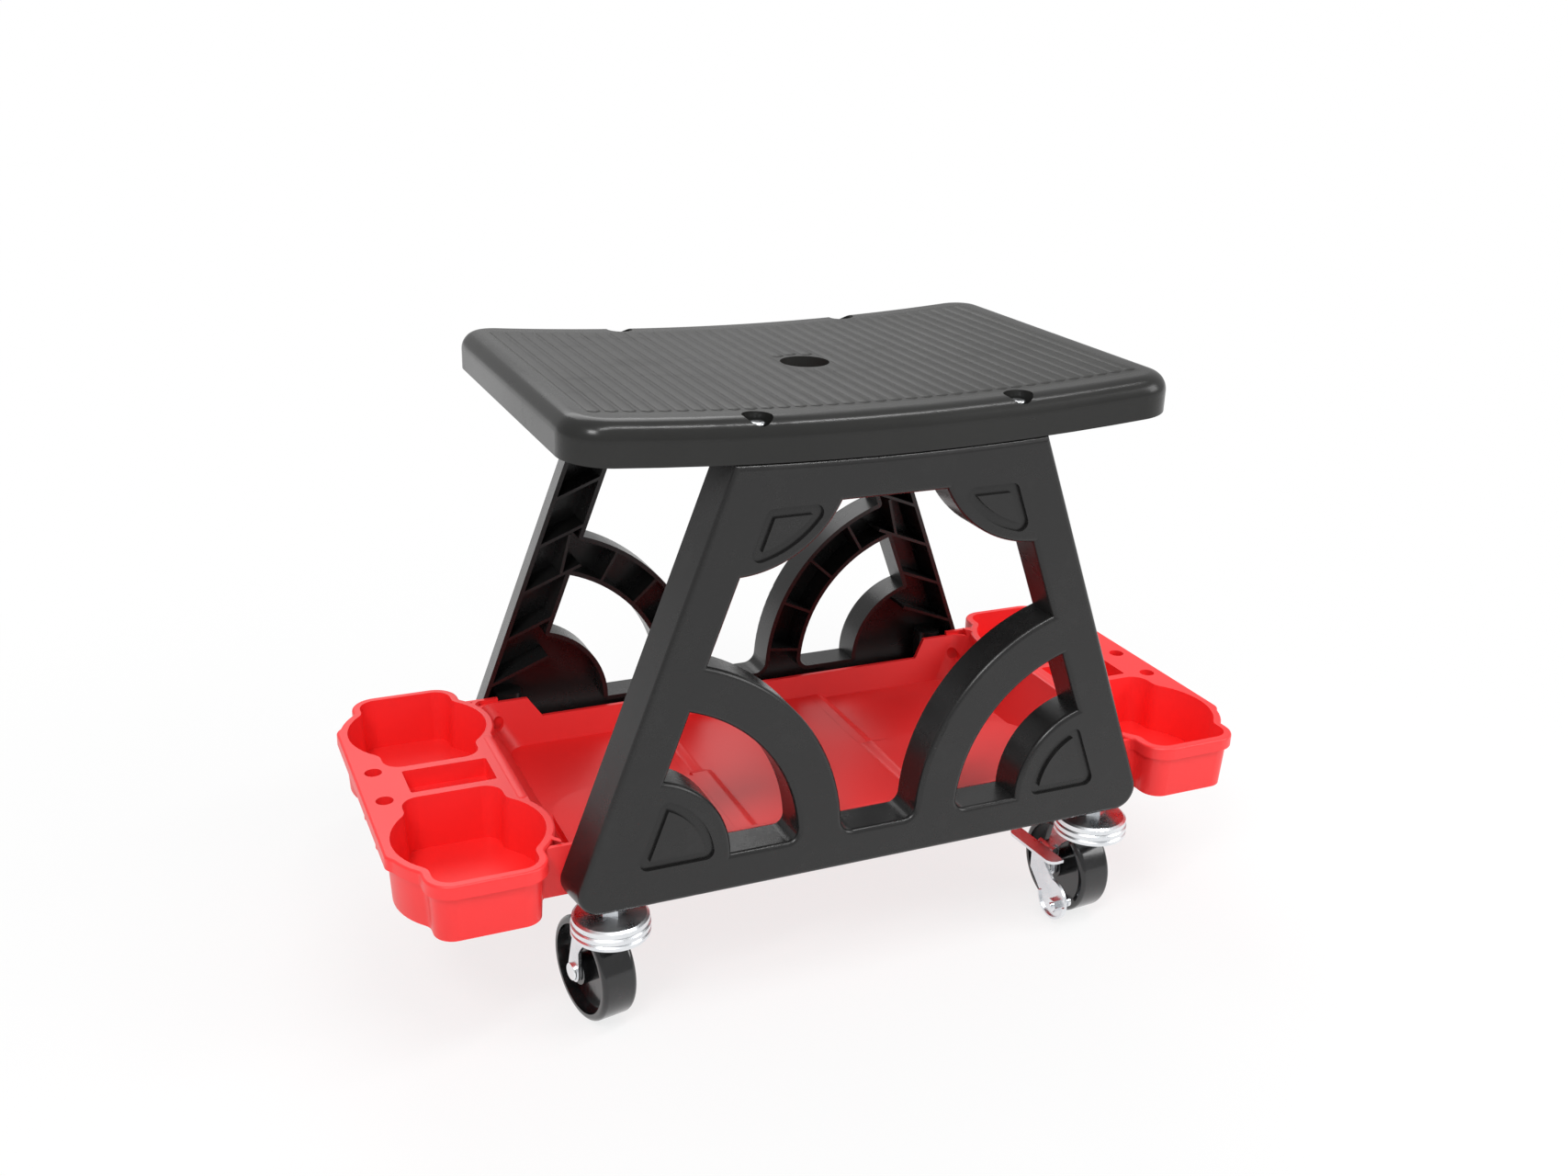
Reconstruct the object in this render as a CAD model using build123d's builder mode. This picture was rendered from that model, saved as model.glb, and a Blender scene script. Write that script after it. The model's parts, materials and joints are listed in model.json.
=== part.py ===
from build123d import *
from math import cos, radians, sin, sqrt
import os

# Rolling workshop stool: a dished moulded seat on two moulded side frames, a tool tray
# between the frames with a cup wing at each end, and four swivel casters.
# +X runs along the stool, +Y to its back, +Z up; the origin is on the floor under the middle.

# Shared clearances and the overrun of every cut
seat_gap = 0.2
part_gap = 0.2
running_gap = 0.06
turning_gap = 0.3
cut_over = 1.0

# Caster wheel
wheel_radius = 31.75
wheel_width = 22.0
wheel_edge = 3.0
wheel_rim = 4.6
wheel_web = 8.0
hub_radius = 9.0
hub_past_rim = 0.9
wheel_side_gap = 1.4
wheel_top_gap = 2.0

# Caster fork, race and stem
caster_trail = 19.6
fork_sheet = 2.0
leg_end_radius = 6.6
leg_front_reach = 17.4
leg_back_reach = 17.8
leg_arch_rise = 15.0
crown_radius = 23.0
crown_height = 7.2
crown_bead = 3.4
crown_groove = 0.9
race_radius = 22.2
race_height = 5.6
race_wall = 2.0
race_dome = 1.6
ring_inner = 12.5
ring_outer = 17.0
hex_across = 15.0
hex_height = 5.5
kingpin_radius = 4.0
kingpin_head = 6.5
kingpin_head_height = 2.0
stem_radius = 5.0
stem_length = 24.0
stem_chamfer = 1.0
axle_radius = 3.0
axle_head_radius = 5.4
axle_head_height = 2.0
axle_head_dome = 0.9

# Side brake of the right-hand casters
brake_pivot_height = 47.0
brake_pin_radius = 1.5
brake_pin_head = 1.2
brake_pivot_trail = 18.2
brake_boss_length = 8.0
brake_eye_wall = 1.3
brake_eye_gap = 0.5
brake_sheet = 2.0
brake_foot_reach = 31.5
brake_foot_front = -3.0
brake_foot_back = 45.0
brake_foot_corner = 6.0
brake_arm_offset = 22.5
brake_arm_front = 12.0
brake_arm_back = 26.0
brake_arm_neck = 40.0
brake_arm_waist = 30.0
brake_shoe_trail = 1.0
brake_shoe_height = 19.0
brake_shoe_radius = 13.5
brake_shoe_lip = 1.4
brake_shoe_lip_rise = 1.2
brake_bolt_height = 17.0
brake_bolt_trail = -3.0
brake_bolt_radius = 2.0
brake_nut_across = 8.0
brake_nut_height = 3.4
brake_bolt_proud = 1.6
brake_pad_radius = 3.6
brake_pad_height = 2.0
brake_pad_gap = 3.4

# Side frames
frame_span = 254.4
frame_depth = 24.0
frame_skin = 3.6
frame_wall = 3.0
frame_height = 251.0
frame_foot_half = 190.4
frame_top_half = 95.2
foot_corner = 14.0
top_corner = 3.0
face_edge = 3.2
leg_flare = 3.8
leg_width = 27.5
foot_beam = 23.2
top_beam = 23.1
arc_centre = 149.0
fan_radius = 55.0
crescent_radius = 97.0
band_radius = 124.7
gusset_inset = 1.5
gusset_rise = 7.7
gusset_radius = 68.6
window_foot_corner = 8.0
window_band_corner = 10.0
window_leg_corner = 10.0
window_top_corner = 4.0
crescent_top_corner = 8.0
crescent_leg_corner = 7.0
crescent_fan_corner = 5.0
crescent_foot_corner = 7.0
pad_groove = 5.6
pad_depth = 2.0
pad_corner = 5.0
foot_pad_inset = 10.5
foot_pad_side = 30.3
top_pad_inset = 6.6
top_pad_side = 28.0
rib_sheet = 2.0
rib_below_rim = 3.0
leg_ribs = 6
leg_rib_pitch = 31.5
leg_rib_start = 50.0
leg_rib_length = 48.0
leg_rib_rise = 21.5
band_ribs = 5
band_rib_step = 17.0
band_rib_start = 104.0

# Places of the caster stems and their bosses in the frames
stem_half = 162.2
stem_inset = 13.6
boss_radius = 9.5
boss_height = 34.0
insert_radius = 7.0
insert_length = 20.0

# Seat
seat_radius = 2000.0
seat_length = 370.0
seat_depth = 252.0
seat_thickness = 23.6
seat_corner = 24.0
seat_edge = 11.0
seat_wall = 3.2
seat_rib = 2.2
seat_rib_rise = 1.5
seat_ribs_across = 7
seat_ribs_along = 3
finger_radius = 15.0
finger_edge = 2.0
notch_half = 79.5
notch_radius = 8.4
notch_floor = 17.0
notch_wall = 2.6
screw_radius = 2.4
screw_head = 4.8
screw_head_height = 3.2
screw_length = 27.0
screw_boss = 5.6

# Tool tray
deck_height = 36.4
deck_sheet = 3.0
lip_drop = 8.0
lip_sheet = 2.4
lip_reach = 5.0
lip_round = 1.5
wing_centre = 231.5
wing_outer = 280.6
wing_corner = 8.0
wing_inner = 193.0
wing_corner_half = 88.0
cup_spacing = 142.0
cup_radius = 43.4
cup_box_width = 59.0
cup_box_length = 101.0
cup_corner = 11.0
cup_jog = 9.0
cup_wall = 2.6
cup_draft = 2.0
slot_centre = 226.8
slot_length = 51.5
slot_width = 29.0
slot_depth = 24.0
slot_step = 12.0
slot_step_width = 11.0
slot_corner = 1.5
slot_wall = 2.2
tool_hole_radius = 5.2
tool_hole_half = 18.7
tool_hole_place = 268.7
sleeve_wall = 1.8
sleeve_length = 30.0
trough_sheet = 2.8
trough_top_half = 190.0
trough_foot_half = 168.0
trough_foot_inset = 13.0
trough_corner = 12.0
side_rim_drop = 16.5
end_rim_drop = 4.0
rim_step_half = 143.0
rim_step_run = 9.0
rim_end_half = 186.0
panel_half = 60.0
panel_rise = 3.0
shelf_rise = 6.0
shelf_back = 4.0
shelf_corner = 30.0
tray_web_inner = 172.0
tray_web_outer = 201.6
tray_web_foot = 3.6
tray_boss_radius = 7.0
tray_screw_half = 174.0
tray_screw_height = 20.0
tray_screw_radius = 2.0
tray_screw_head = 3.8
tray_screw_head_height = 2.4
tray_screw_length = 16.0
tray_screw_boss = 5.0
tray_plug_height = 1.2

# Headings of the four casters, as the direction in which each trails, in degrees
front_left_heading = 101.0
front_right_heading = 94.0
rear_left_heading = 262.0
rear_right_heading = 278.0

# Heights that follow from the caster
crown_under = 2 * wheel_radius + wheel_top_gap
crown_top = crown_under + crown_height
race_under = crown_top + turning_gap
race_top = race_under + race_height
frame_foot = race_top + hex_height
frame_outer = frame_span / 2
frame_inner = frame_outer - frame_depth
stem_place = frame_outer - stem_inset
screw_line = frame_outer - frame_depth / 2


def dish(x):
    """Rise of the dished seat line at a distance from the middle."""
    return seat_radius - sqrt(seat_radius**2 - x**2)


# Frame outline: a trapezium with a dished top; its plane's Y is the height over the foot
top_end = frame_height + dish(frame_top_half)
lean = (frame_foot_half - frame_top_half) / top_end
window_top = frame_height - top_beam


def leg_edge(height, inset):
    """Half-width of the frame at a height, less an inset."""
    return frame_foot_half - lean * height - inset


screw_foot = frame_foot + top_end - screw_length
gusset_centre = leg_edge(top_end, gusset_inset)
gusset_height = frame_height + gusset_rise
front_plane = Plane(origin=(0, -frame_outer, frame_foot), x_dir=(1, 0, 0), z_dir=(0, -1, 0))
open_plane = front_plane.offset(-frame_depth)
skin_plane = front_plane.offset(-frame_skin)


def inner_trapezium(inset):
    """Corners of the space between the legs and the two beams."""
    foot = leg_edge(foot_beam, inset)
    top = leg_edge(window_top, inset)
    return [(-foot, foot_beam), (foot, foot_beam), (top, window_top), (-top, window_top)]


def outline(grow, inset):
    """Outline of a side frame with its legs set out by a growth, less an inset all round."""
    top_half = frame_top_half + grow
    top_height = frame_height + dish(top_half)
    foot_half = frame_foot_half + grow
    with BuildSketch() as section:
        with BuildLine():
            ThreePointArc((-top_half, top_height), (0, frame_height), (top_half, top_height))
            Polyline(
                (top_half, top_height), (foot_half, 0), (-foot_half, 0), (-top_half, top_height)
            )
        make_face()
        rows = section.vertices().group_by(Axis.Y)
        fillet(rows[0], foot_corner)
        fillet(rows[-1], top_corner)
        if inset:
            offset(amount=-inset, mode=Mode.REPLACE)
    return section.sketch


# Middle window, bounded by the two arched bands below and the two gussets above
with BuildSketch() as window:
    with BuildLine():
        Polyline(*inner_trapezium(leg_width), close=True)
    make_face()
    with Locations((-arc_centre, foot_beam), (arc_centre, foot_beam)):
        Circle(band_radius, mode=Mode.SUBTRACT)
    with Locations((-gusset_centre, gusset_height), (gusset_centre, gusset_height)):
        Circle(gusset_radius, mode=Mode.SUBTRACT)
    rows = window.vertices().group_by(Axis.Y)
    fillet(rows[0], window_foot_corner)
    fillet(rows[1], window_band_corner)
    fillet(rows[2], window_leg_corner)
    fillet(rows[3], window_top_corner)

# Crescent window between the band and the solid fan in each lower corner
with BuildSketch() as crescent:
    with BuildLine():
        Polyline(*inner_trapezium(leg_width), close=True)
    make_face()
    with Locations((arc_centre, foot_beam)):
        Circle(crescent_radius, mode=Mode.INTERSECT)
        Circle(fan_radius, mode=Mode.SUBTRACT)
    rows = crescent.vertices().group_by(Axis.Y)
    feet = rows[0].sort_by(Axis.X)
    fillet(feet[0], crescent_foot_corner)
    fillet(feet[1], crescent_fan_corner)
    fillet(rows[1], crescent_leg_corner)
    fillet(rows[2], crescent_top_corner)
    mirror(about=Plane.YZ)

with BuildSketch() as windows:
    add(window.sketch)
    add(crescent.sketch)

with BuildSketch() as window_walls:
    add(windows.sketch)
    offset(amount=frame_wall, mode=Mode.REPLACE)

# Stiffening ribs of the hollow side: slanting ones in the legs, radial ones in the arched bands
with BuildSketch() as rib_strips:
    for side in (-1, 1):
        for step in range(leg_ribs):
            height = leg_rib_start + step * leg_rib_pitch
            place = (side * leg_edge(height, leg_width / 2), height)
            with Locations(Location(place, -side * leg_rib_rise)):
                Rectangle(leg_rib_length, rib_sheet)
        for step in range(band_ribs):
            angle = band_rib_start + step * band_rib_step
            middle = (crescent_radius + band_radius) / 2
            with Locations(
                Location(
                    (
                        side * (arc_centre + middle * cos(radians(angle))),
                        foot_beam + middle * sin(radians(angle)),
                    ),
                    (0, 0, 90 + side * (angle - 90)),
                )
            ):
                Rectangle(band_radius - crescent_radius, rib_sheet)

# Raised pads of the show face, each inside a moat that follows the corner's own outline
with BuildSketch() as pads:
    with BuildLine():
        Polyline(*inner_trapezium(foot_pad_side), close=True)
    make_face()
    with Locations((arc_centre, foot_beam)):
        Circle(fan_radius - foot_pad_inset, mode=Mode.INTERSECT)
    fillet(pads.vertices(), pad_corner)

with BuildSketch() as top_pads:
    with BuildLine():
        Polyline(*inner_trapezium(top_pad_side), close=True)
    make_face()
    with Locations((gusset_centre, gusset_height)):
        Circle(gusset_radius - top_pad_inset, mode=Mode.INTERSECT)
    fillet(top_pads.vertices(), pad_corner)

with BuildSketch() as moats:
    add(pads.sketch)
    add(top_pads.sketch)
    offset(amount=-pad_groove, mode=Mode.SUBTRACT)
    mirror(about=Plane.YZ)

stem_spots = [(-stem_half, -stem_place), (stem_half, -stem_place)]
seat_screw_spots = [(-notch_half, -screw_line), (notch_half, -screw_line)]
tray_screw_spots = [(-tray_screw_half, tray_screw_height), (tray_screw_half, tray_screw_height)]

# Room inside a side frame, less the walls round its windows and the ribs
with BuildPart() as frame_space:
    with BuildSketch(skin_plane):
        add(outline(0, frame_wall))
    with BuildSketch(open_plane):
        add(outline(leg_flare, frame_wall))
    loft(ruled=True)
    with BuildSketch(open_plane):
        add(window_walls.sketch)
    extrude(amount=frame_depth, mode=Mode.SUBTRACT)
    with BuildSketch(open_plane.offset(-rib_below_rim)):
        add(rib_strips.sketch)
    extrude(amount=frame_depth, mode=Mode.SUBTRACT)

with BuildPart() as side_frame:
    # The legs flare from the show face to the open side
    with BuildSketch(front_plane):
        add(outline(0, 0))
    with BuildSketch(open_plane):
        add(outline(leg_flare, 0))
    loft(ruled=True)
    with BuildSketch(front_plane):
        add(windows.sketch)
    extrude(amount=-frame_depth, mode=Mode.SUBTRACT)
    fillet(side_frame.faces().sort_by(Axis.Y)[0].edges(), face_edge)
    add(frame_space.part, mode=Mode.SUBTRACT)
    with BuildSketch(front_plane):
        add(moats.sketch)
    extrude(amount=-pad_depth, mode=Mode.SUBTRACT)
    # Upright bosses for the caster stems
    with BuildSketch(Plane.XY.offset(frame_foot)):
        with Locations(*stem_spots):
            Circle(boss_radius)
    extrude(amount=boss_height)
    # Level bosses for the tray screws
    with BuildSketch(open_plane):
        with Locations(*tray_screw_spots):
            Circle(tray_screw_boss)
    extrude(amount=frame_depth - frame_skin)
    # Upright bosses for the seat screws under the dished top, each with a web to the skin
    with BuildSketch(Plane.XY.offset(screw_foot - frame_skin)):
        with Locations(*seat_screw_spots):
            Circle(screw_boss)
        web_length = (frame_depth - frame_skin) / 2
        for x, y in seat_screw_spots:
            with Locations((x, y - web_length / 2)):
                Rectangle(rib_sheet, web_length)
    extrude(amount=frame_foot + frame_height - screw_foot + frame_skin)
    # Bores for the inserts, the seat screws and the tray screws
    with BuildSketch(Plane.XY.offset(frame_foot)):
        with Locations(*stem_spots):
            Circle(insert_radius + running_gap)
    extrude(amount=insert_length + part_gap, mode=Mode.SUBTRACT)
    with BuildSketch(Plane.XY.offset(frame_foot)):
        with Locations(*stem_spots):
            Circle(stem_radius + running_gap)
    extrude(amount=stem_length + part_gap, mode=Mode.SUBTRACT)
    with BuildSketch(Plane.XY.offset(screw_foot)):
        with Locations(*seat_screw_spots):
            Circle(screw_radius + running_gap)
    extrude(amount=screw_length + cut_over, mode=Mode.SUBTRACT)
    with BuildSketch(open_plane):
        with Locations(*tray_screw_spots):
            Circle(tray_screw_radius + running_gap)
    extrude(amount=tray_screw_length + part_gap, mode=Mode.SUBTRACT)

os.makedirs("parts", exist_ok=True)
front_frame = side_frame.part
front_frame.label = "front_frame"
export_step(front_frame, "parts/front_frame.step")
rear_frame = front_frame.rotate(Axis.Z, 180)
rear_frame.label = "rear_frame"
export_step(rear_frame, "parts/rear_frame.step")

# Dished seat slab, hollow underneath, with a skirt, crossing ribs and screw pillars
seat_foot = frame_foot + frame_height + seat_gap
seat_half = seat_length / 2


def dished_profile(half, lift, thickness, front):
    """Side view of a dished slab between two parallel curves, drawn at its front face."""
    low = lift + dish(half)
    high = low + thickness
    with BuildSketch(Plane.XZ.offset(front)) as profile:
        with BuildLine():
            ThreePointArc((-half, low), (0, lift), (half, low))
            Line((half, low), (half, high))
            ThreePointArc((half, high), (0, lift + thickness), (-half, high))
            Line((-half, high), (-half, low))
        make_face()
    return profile.sketch


notch_places = [(x * notch_half, y * screw_line) for x in (-1, 1) for y in (-1, 1)]
notch_lift = dish(notch_half)

# Hollow under the skin, less the ribs, the rim of the finger hole and the screw pillars
with BuildPart() as seat_hollow:
    hollow_half = seat_half - seat_wall
    hollow_depth = seat_depth - 2 * seat_wall
    extrude(
        dished_profile(hollow_half, seat_foot - seat_wall, seat_thickness, hollow_depth / 2),
        amount=-hollow_depth,
    )
    fillet(seat_hollow.edges().filter_by(Axis.Z), seat_corner - seat_wall)
    with BuildSketch(Plane.XY.offset(seat_foot + seat_rib_rise)):
        with GridLocations(seat_length / (seat_ribs_across + 1), 0, seat_ribs_across, 1):
            Rectangle(seat_rib, seat_depth)
        with GridLocations(0, seat_depth / (seat_ribs_along + 1), 1, seat_ribs_along):
            Rectangle(seat_length, seat_rib)
        Circle(finger_radius + seat_wall)
        with Locations(*notch_places):
            Circle(notch_radius + notch_wall)
    extrude(amount=seat_thickness + dish(seat_half), mode=Mode.SUBTRACT)

with BuildPart() as seat:
    extrude(dished_profile(seat_half, seat_foot, seat_thickness, seat_depth / 2), amount=-seat_depth)
    fillet(seat.edges().filter_by(Axis.Z), seat_corner)
    fillet(seat.faces().sort_by(Axis.Z)[-1].edges(), seat_edge)
    add(seat_hollow.part, mode=Mode.SUBTRACT)
    # Finger hole
    with BuildSketch(Plane.XY.offset(seat_foot)):
        Circle(finger_radius)
    extrude(amount=seat_thickness + cut_over, mode=Mode.SUBTRACT)
    # Round pockets in the rolled rim for the screws, with a floor that carries their heads
    with BuildSketch(Plane.XY.offset(seat_foot + notch_lift + notch_floor)):
        with Locations(*notch_places):
            Circle(notch_radius)
    extrude(amount=seat_thickness, mode=Mode.SUBTRACT)
    with BuildSketch(Plane.XY.offset(seat_foot)):
        with Locations(*notch_places):
            Circle(screw_radius + running_gap)
    extrude(amount=seat_thickness, mode=Mode.SUBTRACT)
seat.part.label = "seat"
export_step(seat.part, "parts/seat.step")

with BuildPart() as seat_screws:
    head_seat = seat_foot + notch_lift + notch_floor
    with BuildSketch(Plane.XY.offset(head_seat)):
        with Locations(*notch_places):
            Circle(screw_head)
    extrude(amount=screw_head_height)
    fillet(seat_screws.faces().group_by(Axis.Z)[-1].edges(), screw_head_height / 2)
    with BuildSketch(Plane.XY.offset(head_seat)):
        with Locations(*notch_places):
            Circle(screw_radius)
    extrude(amount=-(head_seat - screw_foot - part_gap))
seat_screws.part.label = "seat_screws"
export_step(seat_screws.part, "parts/seat_screws.step")

# Tool tray
tray_foot = frame_foot
deck_top = tray_foot + deck_height
trough_side = frame_inner - part_gap
floor_top = tray_foot + trough_sheet


def trough_section(height, grow):
    """Rounded rectangle of the trough at a height, grown by a wall."""
    share = (height - tray_foot) / deck_height
    half_x = trough_foot_half + (trough_top_half - trough_foot_half) * share
    half_y = trough_side - trough_sheet - trough_foot_inset * (1 - share)
    with BuildSketch(Plane.XY.offset(height)) as section:
        RectangleRounded(2 * (half_x + grow), 2 * (half_y + grow), trough_corner + grow)
    return section.sketch


with BuildSketch() as cup_mouth:
    Circle(cup_radius)
    RectangleRounded(cup_box_width, cup_box_length, cup_corner)
    rows = cup_mouth.vertices().group_by(Axis.Y)
    middle_row = len(rows) // 2
    fillet(rows[middle_row - 1] + rows[middle_row], cup_jog)

with BuildSketch() as cup_floor:
    add(cup_mouth.sketch)
    offset(amount=-cup_draft, mode=Mode.REPLACE)

cup_y = cup_spacing / 2
cup_places = [(x * wing_centre, y * cup_y) for x in (-1, 1) for y in (-1, 1)]
slot_places = [(x * slot_centre, 0) for x in (-1, 1)]
hole_places = [(x * tool_hole_place, y * tool_hole_half) for x in (-1, 1) for y in (-1, 1)]

with BuildSketch() as wing:
    with Locations((wing_centre, -cup_y), (wing_centre, cup_y)):
        add(cup_mouth.sketch)
    offset(amount=lip_reach, mode=Mode.REPLACE)
    with Locations(((wing_inner + wing_outer) / 2, 0)):
        Rectangle(wing_outer - wing_inner, 2 * cup_y)
    with Locations((wing_outer - cup_radius, 0)):
        RectangleRounded(2 * cup_radius, 2 * wing_corner_half, wing_corner)
    ends = wing.vertices().group_by(Axis.X)
    fillet(ends[0] + ends[-2], wing_corner)
    mirror(about=Plane.YZ)


def cup_section(place, height, shape, grow):
    """Outline of one cup at a height, grown by a wall."""
    with BuildSketch(Plane.XY.offset(height)) as section:
        with Locations(place):
            add(shape.sketch)
        if grow:
            offset(amount=grow, mode=Mode.REPLACE)
    return section.sketch


with BuildPart() as trough_space:
    add(trough_section(floor_top, 0))
    add(trough_section(deck_top + cut_over, 0))
    loft(ruled=True)

with BuildPart() as cup_spaces:
    for place in cup_places:
        add(cup_section(place, tray_foot + cup_wall, cup_floor, 0))
        add(cup_section(place, deck_top, cup_mouth, 0))
        loft(ruled=True)
    with BuildSketch(Plane.XY.offset(deck_top)):
        with Locations(*cup_places):
            add(cup_mouth.sketch)
    extrude(amount=cut_over)

# Wing decks with a rounded edge and a turned-down lip
with BuildPart() as wing_decks:
    with BuildSketch(Plane.XY.offset(deck_top)):
        add(wing.sketch)
    extrude(amount=-lip_drop)
    fillet(wing_decks.faces().group_by(Axis.Z)[-1].edges(), lip_round)
    with BuildSketch(Plane.XY.offset(deck_top - lip_drop)):
        add(wing.sketch)
        offset(amount=-lip_sheet, mode=Mode.REPLACE)
    extrude(amount=lip_drop - deck_sheet, mode=Mode.SUBTRACT)

# Faces of the tray that bear on the two side frames, at the height of the tray screws
front_bearing = Plane(
    origin=(0, -trough_side, tray_foot + tray_screw_height), x_dir=(1, 0, 0), z_dir=(0, 1, 0)
)
rear_bearing = Plane(
    origin=(0, trough_side, tray_foot + tray_screw_height), x_dir=(-1, 0, 0), z_dir=(0, -1, 0)
)
bearing_spots = [(-tray_screw_half, 0), (tray_screw_half, 0)]

with BuildPart() as tool_tray:
    add(trough_section(tray_foot, trough_sheet))
    add(trough_section(deck_top, trough_sheet))
    loft(ruled=True)
    add(trough_space.part, mode=Mode.SUBTRACT)
    # The side rims are low in the middle and step up to the ends
    with BuildSketch(Plane.XZ):
        with BuildLine():
            Polyline(
                (-rim_step_half, deck_top - side_rim_drop),
                (rim_step_half, deck_top - side_rim_drop),
                (rim_step_half + rim_step_run, deck_top - end_rim_drop),
                (rim_end_half, deck_top - end_rim_drop),
                (rim_end_half, deck_top + cut_over),
                (-rim_end_half, deck_top + cut_over),
                (-rim_end_half, deck_top - end_rim_drop),
                (-rim_step_half - rim_step_run, deck_top - end_rim_drop),
                close=True,
            )
        make_face()
    extrude(amount=frame_inner, both=True, mode=Mode.SUBTRACT)
    # Raised middle panel and the two higher shelves at the front, within the floor's outline
    floor_side = trough_side - trough_foot_inset
    with BuildSketch(Plane.XY.offset(floor_top)):
        Rectangle(2 * panel_half, 2 * floor_side - trough_sheet)
    extrude(amount=panel_rise)
    shelf_end = trough_foot_half + trough_sheet / 2
    with BuildSketch(Plane.XY.offset(floor_top)) as shelves:
        with BuildLine():
            FilletPolyline(
                (panel_half, -floor_side + trough_sheet / 2),
                (panel_half, shelf_back),
                (shelf_end, shelf_back),
                (shelf_end, -floor_side + trough_sheet / 2),
                radius=shelf_corner,
                close=True,
            )
        make_face()
        mirror(about=Plane.YZ)
    extrude(amount=shelf_rise)
    add(wing_decks.part)
    # Webs that tie the trough's side walls to the cups
    web_centre = (tray_web_inner + tray_web_outer) / 2
    web_place = trough_side - trough_sheet / 2
    with BuildSketch(Plane.XY.offset(deck_top - deck_sheet / 2)):
        with GridLocations(2 * web_centre, 2 * web_place, 2, 2):
            Rectangle(tray_web_outer - tray_web_inner, trough_sheet)
    extrude(amount=tray_web_foot + deck_sheet / 2 - deck_height)
    # Cups, slots and tool holes: outsides first, then every inside
    for place in cup_places:
        add(cup_section(place, tray_foot, cup_floor, cup_wall))
        add(cup_section(place, deck_top, cup_mouth, cup_wall))
        loft(ruled=True)
    with BuildSketch(Plane.XY.offset(deck_top)):
        with Locations(*slot_places):
            RectangleRounded(slot_length + 2 * slot_wall, slot_width + 2 * slot_wall, slot_corner + slot_wall)
    extrude(amount=-(slot_depth + slot_wall))
    with BuildSketch(Plane.XY.offset(deck_top)):
        with Locations(*hole_places):
            Circle(tool_hole_radius + sleeve_wall)
    extrude(amount=-sleeve_length)
    add(cup_spaces.part, mode=Mode.SUBTRACT)
    with BuildSketch(Plane.XY.offset(deck_top + cut_over)):
        with Locations(*slot_places):
            RectangleRounded(slot_length, slot_width, slot_corner)
    extrude(amount=-(slot_step + cut_over), mode=Mode.SUBTRACT)
    with BuildSketch(Plane.XY.offset(deck_top)):
        for x, y in slot_places:
            with Locations((x, -slot_step_width / 2)):
                RectangleRounded(slot_length, slot_width - slot_step_width, slot_corner)
    extrude(amount=-slot_depth, mode=Mode.SUBTRACT)
    with BuildSketch(Plane.XY.offset(deck_top + cut_over)):
        with Locations(*hole_places):
            Circle(tool_hole_radius)
    extrude(amount=-(sleeve_length + 2 * cut_over), mode=Mode.SUBTRACT)
    # Screw pillars that bear on the side frames, with a recess for each head
    for bearing_face in (front_bearing, rear_bearing):
        with BuildSketch(bearing_face):
            with Locations(*bearing_spots):
                Circle(tray_boss_radius)
        extrude(amount=trough_sheet + tray_screw_head_height + tray_plug_height)
        with BuildSketch(bearing_face.offset(trough_sheet)):
            with Locations(*bearing_spots):
                Circle(tray_screw_head + part_gap)
        extrude(amount=trough_foot_inset, mode=Mode.SUBTRACT)
        with BuildSketch(bearing_face):
            with Locations(*bearing_spots):
                Circle(tray_screw_radius + running_gap)
        extrude(amount=trough_foot_inset, mode=Mode.SUBTRACT)
tool_tray.part.label = "tool_tray"
export_step(tool_tray.part, "parts/tool_tray.step")

with BuildPart() as tray_screws:
    for bearing_face in (front_bearing, rear_bearing):
        with BuildSketch(bearing_face.offset(trough_sheet)):
            with Locations(*bearing_spots):
                Circle(tray_screw_head)
        extrude(amount=tray_screw_head_height)
        with BuildSketch(bearing_face.offset(trough_sheet)):
            with Locations(*bearing_spots):
                Circle(tray_screw_radius)
        extrude(amount=-(tray_screw_length + trough_sheet))
tray_screws.part.label = "tray_screws"
export_step(tray_screws.part, "parts/tray_screws.step")

# Plugs that cover the heads of the tray screws
with BuildPart() as tray_plugs:
    for bearing_face in (front_bearing, rear_bearing):
        with BuildSketch(bearing_face.offset(trough_sheet + tray_screw_head_height)):
            with Locations(*bearing_spots):
                Circle(tray_screw_head + part_gap - running_gap)
        extrude(amount=tray_plug_height)
tray_plugs.part.label = "tray_plugs"
export_step(tray_plugs.part, "parts/tray_plugs.step")

stem_places = {
    "front_left": (-stem_half, -stem_place, front_left_heading),
    "front_right": (stem_half, -stem_place, front_right_heading),
    "rear_left": (-stem_half, stem_place, rear_left_heading),
    "rear_right": (stem_half, stem_place, rear_right_heading),
}

# Threaded sleeves of the frames, one for each caster stem
with BuildPart() as stem_inserts:
    with BuildSketch(Plane.XY.offset(frame_foot)):
        with Locations(*[(x, y) for x, y, heading in stem_places.values()]):
            Circle(insert_radius)
            Circle(stem_radius + running_gap, mode=Mode.SUBTRACT)
    extrude(amount=insert_length)
stem_inserts.part.label = "stem_inserts"
export_step(stem_inserts.part, "parts/stem_inserts.step")

# One caster, drawn round its stem on the floor, trailing along +X with the axle along Y
leg_inner = wheel_width / 2 + wheel_side_gap
leg_outer = leg_inner + fork_sheet
axle_spot = (caster_trail, wheel_radius)

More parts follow.
